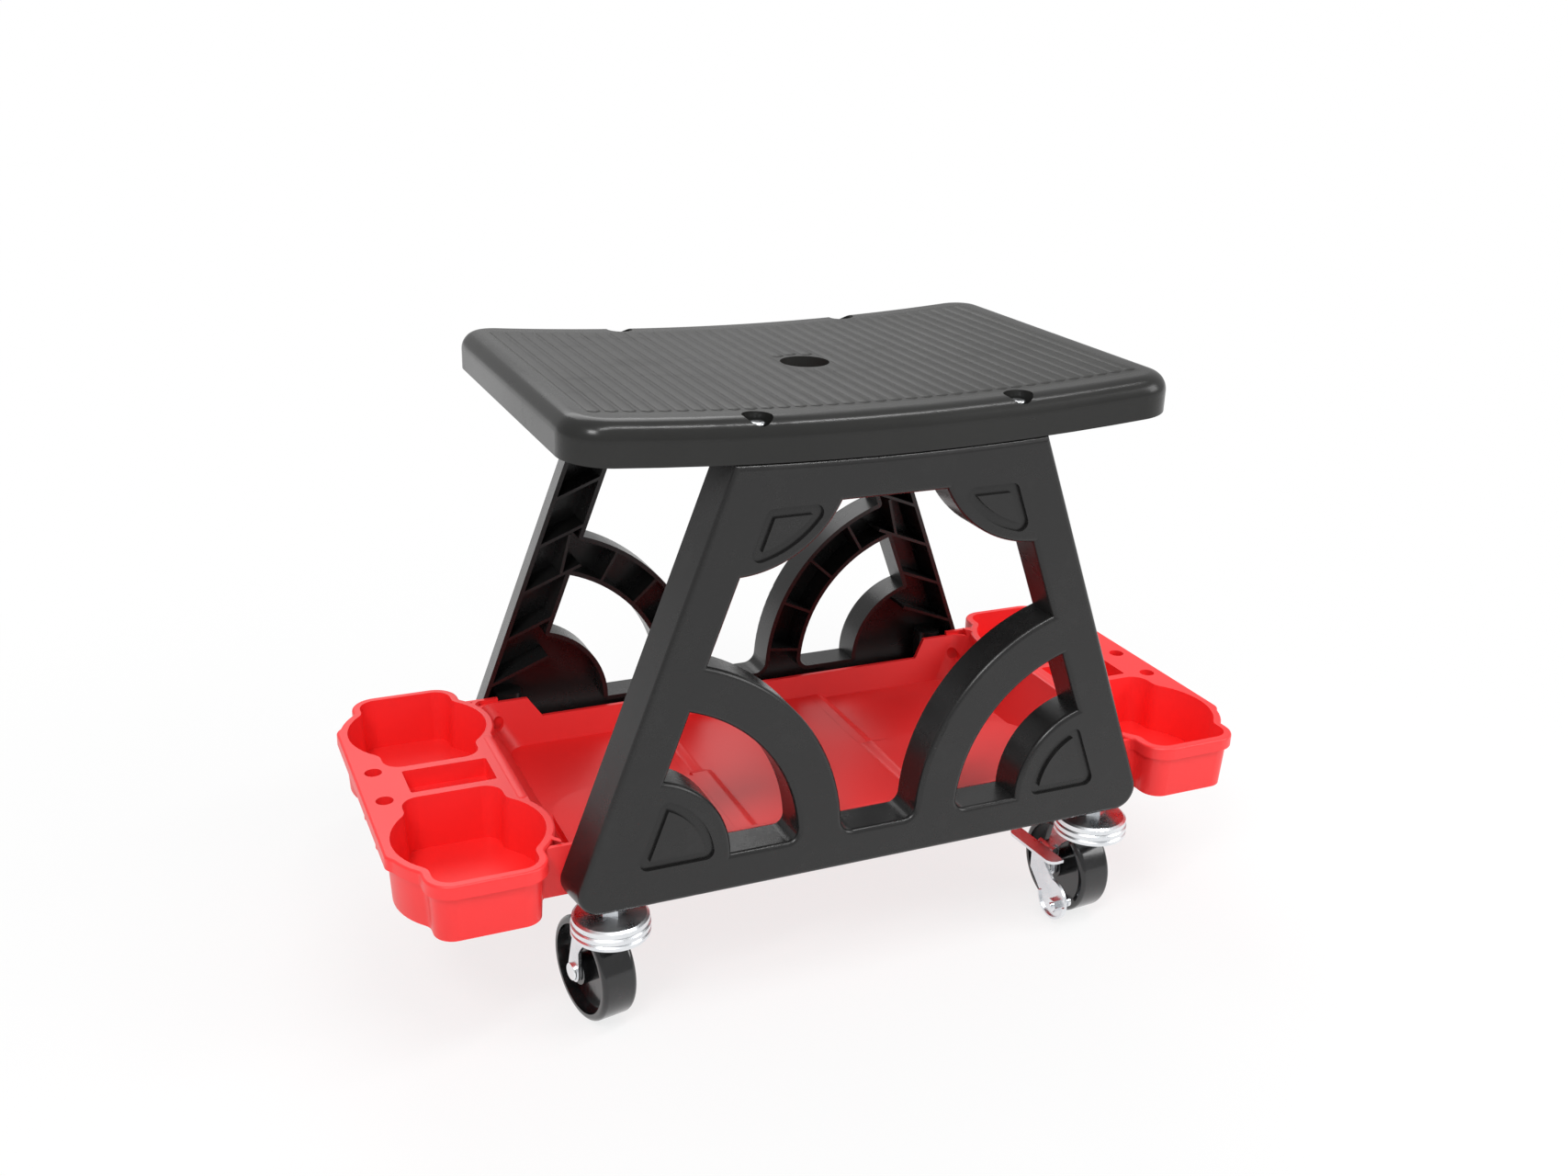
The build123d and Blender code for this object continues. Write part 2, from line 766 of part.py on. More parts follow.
with BuildPart() as stem:
    with BuildSketch(Plane.XY.offset(race_top)):
        RegularPolygon(hex_across / 2, 6, major_radius=False)
    extrude(amount=hex_height)
    with BuildSketch(Plane.XY.offset(frame_foot)):
        Circle(stem_radius)
    extrude(amount=stem_length)
    chamfer(stem.faces().sort_by(Axis.Z)[-1].edges(), stem_chamfer)
    # Kingpin under the hexagon, with the riveted head that holds the crown
    with BuildSketch(Plane.XY.offset(race_top)):
        Circle(kingpin_radius)
    extrude(amount=-(race_top - crown_top + fork_sheet + turning_gap))
    with BuildSketch(Plane.XY.offset(crown_top - fork_sheet - turning_gap)):
        Circle(kingpin_head)
    extrude(amount=-kingpin_head_height)

with BuildPart() as race:
    with BuildSketch(Plane.XZ):
        with BuildLine():
            Polyline(
                (kingpin_radius + running_gap, race_top),
                (hex_across / 2, race_top),
                (race_radius - race_dome, race_top - race_dome),
                (race_radius, race_top - race_dome - race_wall / 2),
                (race_radius, race_under),
                (race_radius - race_wall, race_under),
                (race_radius - race_wall, race_top - race_dome - race_wall),
                (kingpin_radius + running_gap, race_top - race_dome - race_wall),
                close=True,
            )
        make_face()
    revolve(axis=Axis.Z)

with BuildPart() as bearing:
    with BuildSketch(Plane.XY.offset(crown_top + turning_gap)):
        Circle(ring_outer)
        Circle(ring_inner, mode=Mode.SUBTRACT)
    extrude(amount=race_top - race_dome - race_wall - crown_top - turning_gap)

with BuildSketch(Plane.XZ) as leg_profile:
    front_low = (caster_trail - leg_end_radius, wheel_radius + leg_arch_rise)
    with BuildLine():
        Line((-leg_front_reach, crown_top - fork_sheet), (-leg_front_reach, crown_under))
        arch = TangentArc((-leg_front_reach, crown_under), front_low, tangent=(1, 0))
        Line(front_low, (caster_trail - leg_end_radius, wheel_radius))
        ThreePointArc(
            (caster_trail - leg_end_radius, wheel_radius),
            (caster_trail, wheel_radius - leg_end_radius),
            (caster_trail + leg_end_radius, wheel_radius),
        )
        Line((caster_trail + leg_end_radius, wheel_radius), (leg_back_reach, crown_under))
        Line((leg_back_reach, crown_under), (leg_back_reach, crown_top - fork_sheet))
        Line((leg_back_reach, crown_top - fork_sheet), (-leg_front_reach, crown_top - fork_sheet))
    make_face()

with BuildPart() as fork:
    # Pressed crown with a bead, a groove and a skirt
    with BuildSketch(Plane.XZ):
        with BuildLine():
            Polyline(
                (kingpin_radius + running_gap, crown_top),
                (crown_radius - crown_groove, crown_top),
                (crown_radius, crown_top - crown_groove),
                (crown_radius, crown_top - crown_bead),
                (crown_radius - crown_groove, crown_top - crown_bead - crown_groove),
                (crown_radius, crown_top - crown_bead - 2 * crown_groove),
                (crown_radius, crown_under),
                (crown_radius - fork_sheet, crown_under),
                (crown_radius - fork_sheet, crown_top - fork_sheet),
                (kingpin_radius + running_gap, crown_top - fork_sheet),
                close=True,
            )
        make_face()
    revolve(axis=Axis.Z)
    for side in (-1, 1):
        extrude(leg_profile.sketch.moved(Location((0, side * leg_inner, 0))), amount=-side * fork_sheet)
    with BuildSketch(Plane.XZ.offset(leg_outer + cut_over)):
        with Locations(axle_spot):
            Circle(axle_radius + running_gap)
    extrude(amount=-2 * (leg_outer + cut_over), mode=Mode.SUBTRACT)

with BuildPart() as axle:
    with BuildSketch(Plane.XZ.offset(leg_outer + axle_head_height)):
        with Locations(axle_spot):
            Circle(axle_head_radius)
    extrude(amount=-axle_head_height)
    with BuildSketch(Plane.XZ.offset(leg_outer)):
        with Locations(axle_spot):
            Circle(axle_radius)
    extrude(amount=-2 * leg_outer)
    with BuildSketch(Plane.XZ.offset(-leg_outer)):
        with Locations(axle_spot):
            Circle(axle_head_radius)
    extrude(amount=-axle_head_height)
    ends = axle.faces().filter_by(Axis.Y).group_by(Axis.Y)
    fillet(ends[0].edges() + ends[-1].edges(), axle_head_dome)

with BuildPart() as wheel:
    hub_half = wheel_width / 2 + hub_past_rim
    rim_inner = wheel_radius - wheel_rim
    with BuildSketch(Plane.XZ):
        with BuildLine():
            Polyline(
                (axle_radius + running_gap, -hub_half),
                (hub_radius, -hub_half),
                (hub_radius, -wheel_web / 2),
                (rim_inner - wheel_edge / 2, -wheel_web / 2),
                (rim_inner, -wheel_width / 2),
                (wheel_radius - wheel_edge, -wheel_width / 2),
            )
            TangentArc(
                (wheel_radius - wheel_edge, -wheel_width / 2),
                (wheel_radius, wheel_edge - wheel_width / 2),
                tangent=(1, 0),
            )
            Line((wheel_radius, wheel_edge - wheel_width / 2), (wheel_radius, wheel_width / 2 - wheel_edge))
            TangentArc(
                (wheel_radius, wheel_width / 2 - wheel_edge),
                (wheel_radius - wheel_edge, wheel_width / 2),
                tangent=(0, 1),
            )
            Polyline(
                (wheel_radius - wheel_edge, wheel_width / 2),
                (rim_inner, wheel_width / 2),
                (rim_inner - wheel_edge / 2, wheel_web / 2),
                (hub_radius, wheel_web / 2),
                (hub_radius, hub_half),
                (axle_radius + running_gap, hub_half),
                (axle_radius + running_gap, -hub_half),
            )
        make_face()
    revolve(axis=Axis.Z)
wheel_place = Location((caster_trail, 0, wheel_radius), (90, 0, 0))

# Side brake: a lever that rocks on a boss of the fork leg, with a padded bolt beside the rim
eye_radius = brake_pin_radius + running_gap + brake_eye_wall
brake_pivot_reach = leg_outer + brake_eye_gap + eye_radius
brake_pivot = (brake_pivot_reach, brake_pivot_height)
boss_half = brake_boss_length / 2
cheek_inner = boss_half + turning_gap
cheek_outer = cheek_inner + brake_sheet
pin_half = cheek_outer + turning_gap
plate_inner = brake_pivot_reach + eye_radius + brake_eye_gap
plate_top = brake_pivot_height + brake_sheet

with BuildPart() as braked_fork:
    add(fork.part)
    with BuildSketch(Plane.YZ.offset(brake_pivot_trail - boss_half)):
        with BuildLine():
            Polyline(
                (leg_outer - fork_sheet / 2, brake_pivot_height - eye_radius),
                (brake_pivot_reach, brake_pivot_height - eye_radius),
                (brake_pivot_reach, brake_pivot_height + eye_radius),
                (leg_outer - fork_sheet / 2, brake_pivot_height + eye_radius),
                close=True,
            )
        make_face()
        with Locations(brake_pivot):
            Circle(eye_radius)
            Circle(brake_pin_radius + running_gap, mode=Mode.SUBTRACT)
    extrude(amount=brake_boss_length)

with BuildPart() as brake_pin:
    for start, length, radius in (
        (-pin_half - brake_pin_head, brake_pin_head, eye_radius),
        (-pin_half, 2 * pin_half, brake_pin_radius),
        (pin_half, brake_pin_head, eye_radius),
    ):
        with BuildSketch(Plane.YZ.offset(brake_pivot_trail + start)):
            with Locations(brake_pivot):
                Circle(radius)
        extrude(amount=length)

with BuildPart() as brake_lever:
    # Two cheeks beside the boss
    for start in (-cheek_outer, cheek_inner):
        with BuildSketch(Plane.YZ.offset(brake_pivot_trail + start)):
            with BuildLine():
                Polyline(
                    (brake_pivot_reach, brake_pivot_height - eye_radius),
                    (brake_arm_offset, brake_pivot_height),
                    (brake_arm_offset, plate_top),
                    (brake_pivot_reach, plate_top),
                    close=True,
                )
            make_face()
            with Locations(brake_pivot):
                Circle(eye_radius)
                Circle(brake_pin_radius + running_gap, mode=Mode.SUBTRACT)
        extrude(amount=brake_sheet)
    # Foot plate
    with BuildSketch(Plane.XY.offset(brake_pivot_height)):
        with BuildLine():
            Polyline(
                (brake_foot_front, plate_inner),
                (brake_foot_back, plate_inner),
                (brake_foot_back, brake_foot_reach),
                (brake_foot_front, brake_foot_reach),
                close=True,
            )
        make_face()
        fillet(vertices().group_by(Axis.Y)[-1], brake_foot_corner)
    extrude(amount=brake_sheet)
    # Hanging arm that spreads to a round shoe, with the bolt's hole and a lip round its foot
    shoe_spot = (brake_shoe_trail, brake_shoe_height)
    with BuildSketch(Plane.XZ.offset(-brake_arm_offset)):
        with BuildLine():
            Polyline(
                (brake_arm_front, plate_top),
                (brake_arm_back, plate_top),
                (brake_arm_back, brake_arm_waist),
                (brake_shoe_trail + brake_shoe_radius, brake_shoe_height),
                (brake_shoe_trail - brake_shoe_radius, brake_shoe_height),
                (brake_arm_front, brake_arm_neck),
                close=True,
            )
        make_face()
        with Locations(shoe_spot):
            Circle(brake_shoe_radius)
        with Locations((brake_bolt_trail, brake_bolt_height)):
            Circle(brake_bolt_radius + running_gap, mode=Mode.SUBTRACT)
    extrude(amount=-brake_sheet)
    with BuildSketch(Plane.XZ.offset(-(brake_arm_offset + brake_sheet))):
        with Locations(shoe_spot):
            Circle(brake_shoe_radius)
            Circle(brake_shoe_radius - brake_shoe_lip, mode=Mode.SUBTRACT)
        with Locations((brake_shoe_trail, brake_shoe_height + brake_shoe_radius)):
            Rectangle(2 * brake_shoe_radius, 2 * brake_shoe_radius, mode=Mode.SUBTRACT)
    extrude(amount=-brake_shoe_lip_rise)

with BuildPart() as brake_bolt:
    bolt_spot = (brake_bolt_trail, brake_bolt_height)
    arm_outside = brake_arm_offset + brake_sheet
    pad_face = wheel_width / 2 + brake_pad_gap
    with BuildSketch(Plane.XZ.offset(-arm_outside)):
        with Locations(bolt_spot):
            RegularPolygon(brake_nut_across / 2, 6, major_radius=False)
    extrude(amount=-brake_nut_height)
    with BuildSketch(Plane.XZ.offset(-pad_face)):
        with Locations(bolt_spot):
            Circle(brake_bolt_radius)
    extrude(amount=-(arm_outside + brake_nut_height + brake_bolt_proud - pad_face))
    with BuildSketch(Plane.XZ.offset(-pad_face)):
        with Locations(bolt_spot):
            Circle(brake_pad_radius)
    extrude(amount=-brake_pad_height)

plain_caster = {
    "stem": stem.part,
    "race": race.part,
    "bearing": bearing.part,
    "fork": fork.part,
    "axle": axle.part,
    "wheel": wheel.part.moved(wheel_place),
}
braked_caster = {
    **plain_caster,
    "fork": braked_fork.part,
    "brake_pin": brake_pin.part,
    "brake_lever": brake_lever.part,
    "brake_bolt": brake_bolt.part,
}
for corner, (x, y, heading) in stem_places.items():
    pieces = braked_caster if x > 0 else plain_caster
    for name, piece in pieces.items():
        placed = piece.moved(Location((x, y, 0), (0, 0, heading)))
        placed.label = f"{corner}_{name}"
        export_step(placed, f"parts/{corner}_{name}.step")
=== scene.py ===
"""Looks of the rolling workshop stool: finishes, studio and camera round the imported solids."""

import json
import math

import bpy
import numpy as np
from mathutils import Matrix, Vector


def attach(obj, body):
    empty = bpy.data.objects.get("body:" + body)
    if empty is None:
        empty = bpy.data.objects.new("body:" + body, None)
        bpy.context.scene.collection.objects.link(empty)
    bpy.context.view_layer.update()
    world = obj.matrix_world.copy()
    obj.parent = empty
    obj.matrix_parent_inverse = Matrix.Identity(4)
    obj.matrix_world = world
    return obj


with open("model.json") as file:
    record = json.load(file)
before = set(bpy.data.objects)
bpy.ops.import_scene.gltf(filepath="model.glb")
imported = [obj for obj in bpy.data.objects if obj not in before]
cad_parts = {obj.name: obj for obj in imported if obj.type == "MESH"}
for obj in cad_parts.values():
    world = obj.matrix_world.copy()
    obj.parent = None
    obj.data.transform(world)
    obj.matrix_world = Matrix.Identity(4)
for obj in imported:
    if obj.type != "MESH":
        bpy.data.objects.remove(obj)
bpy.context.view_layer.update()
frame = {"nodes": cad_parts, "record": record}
scene = bpy.context.scene
scene.view_settings.view_transform = "Standard"

# All lengths are in metres. First the seat's dish, its ribbed field and the finger hole.
DISH_RADIUS = 2.0
SEAT_MIDDLE = 0.3589
FIELD_HALF_WIDE = 0.1655
FIELD_HALF_DEEP = 0.1040
FIELD_FADE = 0.006
RIB_PITCH = 0.00965
RIB_WIDTH = 0.0078
RIB_RISE = 0.0007
RIB_SINK = 0.0004
RIB_END = 0.003
HOLE_CLEARANCE = 0.0182

# The seat's rolled rim and its screw pockets: plan half sizes, corner and radius of the roll
SEAT_HALF_LONG = 0.185
SEAT_HALF_DEEP = 0.126
SEAT_CORNER = 0.024
RIM_ROLL = 0.011
POCKET_PLACE = 0.0795
POCKET_CLEARANCE = 0.0088

# The thin sheet over the roll: its depth, how far it stands proud, the share of that by which its
# long edges dip under the surface, and the depth of its ends, which dip over the first and the
# last of this many parts of its path's points
RIM_SHEET = 0.0006
RIM_PROUD = 0.00006
RIM_EDGE_DIP = 0.2
RIM_END_DEPTH = 0.00014
RIM_PARTS = 12.0

# Points of its grid: along the front, beside a pocket, round a quarter corner and over the roll
FRONT_POINTS = 60
BESIDE_POINTS = 20
CORNER_POINTS = 12
ROLL_POINTS = 17

# The bead over the seam of each deck and the trough's end wall
DECK_TOP = 0.1205
DECK_SEAM = 0.1929
BEAD_HALF_LONG = 0.044
BEAD_WIDTH = 0.0056
BEAD_RISE = 0.0005
BEAD_SINK = 0.0018
BEAD_END = 0.002

# A rounded bar: its run in steps with one for each end, share of its size at the tip, the power
# of its profile's height, the corners of the profile, and points along an end and the middle
BAR_RUN = 10.0
BAR_TIP = 0.12
BAR_POWER = 1.3
BAR_CORNERS = 16
BAR_END_POINTS = 5
BAR_MIDDLE_POINTS = 9

# The trough's floor: its heights, the middle panel's edge and where the steps run along Y
FLOOR_TOP = 0.0869
PANEL_TOP = 0.0899
SHELF_TOP = 0.0929
PANEL_EDGE = 0.0602
STEP_START = -0.0925
STEP_STOP = 0.0925
SHELF_BACK = 0.004
SHELF_BLEND = 0.003

# The slopes on these steps, across from the panel's edge outwards, and the points of their grid
SLOPE_START = -0.007
SLOPE_STOP = 0.0105
CLIMB_START = -0.006
CLIMB_RUN = 0.0065
FALL_START = -0.0005
FALL_RUN = 0.007
SLOPE_PROUD = 0.00006
SLOPE_SINK = 0.0005
SLOPE_POINTS_LONG = 61
SLOPE_POINTS_ACROSS = 29

# The studio: half size and lines of the floor's grid, share by which the floor shines by itself
# near the stool and far from it, the distances these two hold at, and the strength of the air as
# a light and as seen
FLOOR_REACH = 9.0
FLOOR_LINES = 25
GLOW_SHARES = (0.78, 1.0)
GLOW_DISTANCES = (0.3, 0.85)
AIR_LIGHT = 0.55
AIR_SEEN = 1.0

# Cosines between the smoothed and the face's own normal over which the smoothing sets in, and
# cosines of a face's slope over which it comes to count as level
NORMALS_AGREE = (0.972, 0.984)
FACE_LEVEL = (0.9996, 0.9999)

# The camera: focal length and width of the view in its pixels, film width in millimetres,
# place, and the angles in degrees by which it turns right, looks down and leans
FOCAL_PIXELS = 1710.7182
VIEW_PIXELS = 1707.0
FILM_WIDTH = 36.0
CAMERA_PLACE = (-0.39374, -0.85075, 0.5673)
CAMERA_TURN = 24.3279
CAMERA_DOWN = 20.7527
CAMERA_LEAN = 1.7361


class Finish:
    """A material's node tree, with short calls for the nodes that every finish uses."""

    def __init__(self, name):
        self.material = bpy.data.materials.new(name)
        self.material.use_nodes = True
        self.tree = self.material.node_tree
        self.shader = self.tree.nodes["Principled BSDF"]
        self.place = self.node("ShaderNodeTexCoord").outputs["Object"]

    def node(self, kind, **settings):
        made = self.tree.nodes.new(kind)
        for key, value in settings.items():
            setattr(made, key, value)
        return made

    def link(self, source, target):
        self.tree.links.new(source, target)

    def put(self, target, value):
        """Links a socket, or sets a plain number or colour."""
        if isinstance(value, bpy.types.NodeSocket):
            self.link(value, target)
        else:
            target.default_value = value

    def math(self, operation, a, b=0.0, c=0.0):
        """The result of one calculation with up to three values."""
        made = self.node("ShaderNodeMath", operation=operation)
        for socket, value in zip(made.inputs, (a, b, c)):
            self.put(socket, value)
        return made.outputs[0]

    def ramp(self, value, over, to=(0.0, 1.0), smooth=True):
        """Carries a value from one range to another, held at both ends, by the smooth step or evenly."""
        kind = "SMOOTHSTEP" if smooth else "LINEAR"
        made = self.node("ShaderNodeMapRange", interpolation_type=kind)
        for socket, number in zip(made.inputs, (value, *over, *to)):
            self.put(socket, number)
        return made.outputs[0]

    def noise(self, scale, detail, roughness, stretch=(1.0, 1.0, 1.0)):
        """Noise of a scale per metre in object space, stretched along the axes."""
        made = self.node("ShaderNodeTexNoise")
        moved = self.node("ShaderNodeMapping")
        moved.inputs["Scale"].default_value = stretch
        self.link(self.place, moved.inputs["Vector"])
        self.link(moved.outputs[0], made.inputs["Vector"])
        made.inputs["Scale"].default_value = scale
        made.inputs["Detail"].default_value = detail
        made.inputs["Roughness"].default_value = roughness
        return made.outputs["Fac"]

    def axes(self, source=None):
        """The three coordinates of a vector, the surface's own place by default."""
        made = self.node("ShaderNodeSeparateXYZ")
        self.link(source or self.place, made.inputs[0])
        return made.outputs

    def flat_normal(self):
        """The smoothed normal, but the face's own where they part widely or the face lies level."""
        about = self.node("ShaderNodeNewGeometry").outputs
        agree = self.node("ShaderNodeVectorMath", operation="DOT_PRODUCT")
        self.link(about["Normal"], agree.inputs[0])
        self.link(about["True Normal"], agree.inputs[1])
        apart = self.ramp(agree.outputs["Value"], NORMALS_AGREE, to=(1.0, 0.0))
        upright = self.math("ABSOLUTE", self.axes(about["True Normal"])[2])
        share = self.math("MAXIMUM", apart, self.ramp(upright, FACE_LEVEL))
        made = self.node("ShaderNodeMix", data_type="VECTOR")
        self.link(share, made.inputs["Factor"])
        self.link(about["Normal"], made.inputs["A"])
        self.link(about["True Normal"], made.inputs["B"])
        return made.outputs["Result"]

    def mix(self, share, first, second):
        """A colour between two others, the second at a share of one."""
        made = self.node("ShaderNodeMix", data_type="RGBA")
        self.put(made.inputs["Factor"], share)
        self.put(made.inputs["A"], first)
        self.put(made.inputs["B"], second)
        return made.outputs["Result"]

    def bump(self, height, distance, strength, onto=None):
        """Relief of a height, with its depth in metres, on top of another relief if there is one."""
        made = self.node("ShaderNodeBump")
        made.inputs["Strength"].default_value = strength
        made.inputs["Distance"].default_value = distance
        self.put(made.inputs["Height"], height)
        if onto:
            self.link(onto, made.inputs["Normal"])
        return made.outputs["Normal"]

    def surface(self, **values):
        """Sets sockets of the shader by their names, with _ for a blank."""
        for key, value in values.items():
            self.put(self.shader.inputs[key.replace("_", " ")], value)


def grey(level, tint):
    """A grey of a level, tinted by three factors."""
    return tuple(level * t for t in tint) + (1.0,)


def seat_finish():
    """Charcoal moulding: half matt on the dished field, glossier round the rolled rim."""
    f = Finish("charcoal_seat_moulding")
    x, y, _ = f.axes()
    wide, deep = FIELD_HALF_WIDE, FIELD_HALF_DEEP
    inside_x = f.ramp(f.math("ABSOLUTE", x), (wide, wide + FIELD_FADE), to=(1.0, 0.0))
    inside_y = f.ramp(f.math("ABSOLUTE", y), (deep, deep + FIELD_FADE), to=(1.0, 0.0))
    field = f.math("MULTIPLY", inside_x, inside_y)
    grain = f.noise(1500.0, detail=2.0, roughness=0.5)
    relief = f.bump(grain, distance=0.00002, strength=0.3, onto=f.flat_normal())
    cloud = f.noise(9.0, detail=4.0, roughness=0.55)
    scuff = f.ramp(f.noise(60.0, detail=6.0, roughness=0.7, stretch=(0.25, 1.0, 1.0)), (0.52, 0.75))
    dull = f.math("MULTIPLY_ADD", scuff, 0.06, f.ramp(cloud, (0.3, 0.7), to=(0.2, 0.25)))
    dull = f.math("MULTIPLY_ADD", field, 0.2, dull)
    dark, light = grey(0.016, (1.0, 1.0, 0.95)), grey(0.02, (1.0, 1.0, 0.96))
    rim = f.mix(f.ramp(cloud, (0.3, 0.7)), dark, light)
    colour = f.mix(f.math("MULTIPLY", field, 0.6), rim, grey(0.022, (1.0, 1.0, 0.93)))
    f.surface(Base_Color=colour, Roughness=dull, Normal=relief)
    f.shader.inputs["Specular IOR Level"].default_value = 0.3
    return f.material


def frame_finish():
    """Black moulding with a fine spark grain, faint flow marks and rubbed patches."""
    f = Finish("black_satin_moulding")
    grain = f.noise(3200.0, detail=3.0, roughness=0.6)
    flow = f.noise(16.0, detail=3.0, roughness=0.5, stretch=(0.4, 1.0, 1.4))
    rubbed = f.ramp(f.noise(38.0, detail=7.0, roughness=0.72), (0.5, 0.78))
    relief = f.bump(grain, distance=0.00006, strength=0.5, onto=f.flat_normal())
    relief = f.bump(flow, distance=0.0006, strength=0.2, onto=relief)
    dull = f.ramp(flow, (0.15, 0.85), to=(0.23, 0.31), smooth=False)
    dull = f.math("MULTIPLY_ADD", rubbed, 0.08, dull)
    colour = f.mix(rubbed, grey(0.012, (1.0, 0.98, 0.98)), grey(0.017, (1.0, 0.98, 0.98)))
    f.surface(Base_Color=colour, Roughness=dull, Normal=relief)
    f.shader.inputs["Specular IOR Level"].default_value = 0.42
    return f.material


def tray_finish():
    """Bright red moulding, smooth and half glossy, with faint cloudiness, small handling marks and
    painted shade that darkens it towards the trough's floor.
    """
    f = Finish("red_glossy_moulding")
    # The darker red is painted shade for the floor of the trough
    trough_shade_red = (0.9, 0.02, 0.02, 1.0)
    plain_red = (0.98, 0.028, 0.03, 1.0)
    pale_red = (0.99, 0.05, 0.05, 1.0)
    height = f.axes()[2]
    cloud = f.noise(14.0, detail=3.0, roughness=0.5)
    pores = f.noise(2200.0, detail=2.0, roughness=0.6)
    marks = f.ramp(f.noise(240.0, detail=7.0, roughness=0.7), (0.62, 0.82))
    relief = f.bump(pores, distance=0.00004, strength=0.4, onto=f.flat_normal())
    dull = f.ramp(cloud, (0.15, 0.85), to=(0.36, 0.42), smooth=False)
    dull = f.math("MULTIPLY_ADD", marks, 0.06, dull)
    # Painted shade: the red darkens from the height of the decks down to the trough's floor
    colour = f.mix(f.ramp(height, (0.084, 0.122)), trough_shade_red, plain_red)
    paler = f.ramp(cloud, (0.15, 0.85), to=(0.0, 0.12), smooth=False)
    colour = f.mix(paler, colour, pale_red)
    f.surface(Base_Color=colour, Roughness=dull, Normal=relief)
    return f.material


def wheel_finish():
    """Hard black wheel, polished, with fine grain and rubbed patches."""
    f = Finish("black_polished_wheel")
    grain = f.noise(900.0, detail=3.0, roughness=0.6)
    rubbed = f.ramp(f.noise(120.0, detail=6.0, roughness=0.7), (0.45, 0.75))
    relief = f.bump(grain, distance=0.00005, strength=0.5)
    colour = f.mix(rubbed, grey(0.007, (1.0, 1.0, 1.1)), grey(0.013, (1.0, 1.0, 1.1)))
    dull = f.ramp(rubbed, (0.0, 1.0), to=(0.16, 0.3))
    f.surface(Base_Color=colour, Roughness=dull, Normal=relief)
    f.shader.inputs["Coat Weight"].default_value = 0.4
    f.shader.inputs["Coat Roughness"].default_value = 0.08
    return f.material


def zinc_finish(name, level, dull, brushing):
    """Zinc plating: cool bright metal, faintly cloudy, with fine brushing."""
    f = Finish(name)
    cloud = f.ramp(f.noise(70.0, detail=4.0, roughness=0.55), (0.3, 0.7))
    lines = f.noise(900.0, detail=3.0, roughness=0.5, stretch=brushing)
    relief = f.bump(lines, distance=0.000012, strength=0.4)
    bright, dim = grey(level, (0.98, 1.0, 1.02)), grey(level * 0.88, (0.97, 1.0, 1.04))
    dull = f.ramp(cloud, (0.0, 1.0), to=dull)
    dull = f.math("MULTIPLY_ADD", f.ramp(lines, (0.35, 0.65)), 0.04, dull)
    f.surface(Base_Color=f.mix(cloud, dim, bright), Roughness=dull, Normal=relief)
    f.shader.inputs["Metallic"].default_value = 1.0
    return f.material


def steel_finish(name, colour, dull):
    """Small turned hardware: plated metal with a fine grain and a little wear."""
    f = Finish(name)
    wear = f.ramp(f.noise(300.0, detail=5.0, roughness=0.7), (0.45, 0.75))
    relief = f.bump(f.noise(1500.0, detail=2.0, roughness=0.5), distance=0.00004, strength=0.5)
    worn = tuple(min(1.0, c * 1.5 + 0.03) for c in colour) + (1.0,)
    f.surface(
        Base_Color=f.mix(wear, colour + (1.0,), worn),
        Roughness=f.ramp(wear, (0.0, 1.0), to=(dull, dull + 0.12)),
        Normal=relief,
    )
    f.shader.inputs["Metallic"].default_value = 1.0
    return f.material


FINISHES = {
    "seat_plastic": seat_finish(),
    "frame_plastic": frame_finish(),
    "tray_plastic": tray_finish(),
    "wheel_plastic": wheel_finish(),
    "zinc_plate": zinc_finish("zinc_pressed_sheet", 0.86, dull=(0.24, 0.32), brushing=(1.0, 1.0, 6.0)),
    "bright_zinc": zinc_finish("zinc_turned_bright", 0.9, dull=(0.14, 0.2), brushing=(1.0, 1.0, 12.0)),
    "black_steel": steel_finish("black_oxide_screw", (0.05, 0.05, 0.052), dull=0.35),
    "insert_brass": steel_finish("turned_brass", (0.62, 0.44, 0.19), dull=0.25),
}

for part in frame["record"]["subparts"]:
    solid = frame["nodes"][part["node"]]
    for held in solid.material_slots:
        held.material = FINISHES[part["material_slot"]]


def smooth_step(t):
    """A share carried from 0 to 1 with a level start and a level end."""
    return t * t * (3.0 - 2.0 * t)


def seat_line(x):
    """Height of the seat's dished top: its lowest point plus the sagitta of the dish at x."""
    return SEAT_MIDDLE + DISH_RADIUS - np.sqrt(DISH_RADIUS**2 - x**2)


def surface_mesh(name, points, faces):
    """A mesh object from an array of points and lists of the faces' corners."""
    mesh = bpy.data.meshes.new(name)
    mesh.from_pydata(points.reshape(-1, 3).tolist(), [], faces)
    made = bpy.data.objects.new(name, mesh)
    scene.collection.objects.link(made)
    return made


def closed_walls(index, turned_over):
    """Faces of a tube whose closed rings are the rows of an index grid, with a face at each end."""
    turned = np.roll(index, -1, axis=1)
    walls = np.stack([index[:-1], turned[:-1], turned[1:], index[1:]], -1).reshape(-1, 4)
    caps = [index[0, ::-1].tolist(), index[-1].tolist()]
    if turned_over:
        return walls[:, ::-1].tolist() + [cap[::-1] for cap in caps]
    return walls.tolist() + caps


def smooth_tubes(name, tubes):
    """Closed tubes in one mesh, each from its grid of rings and whether its faces are turned over."""
    points, faces, count = [], [], 0
    for rings, turned_over in tubes:
        index = count + np.arange(rings[..., 0].size).reshape(rings.shape[:2])
        count += index.size
        points.append(rings.reshape(-1, 3))
        faces += closed_walls(index, turned_over)
    made = surface_mesh(name, np.concatenate(points), faces)
    made.data.shade_smooth()
    return made


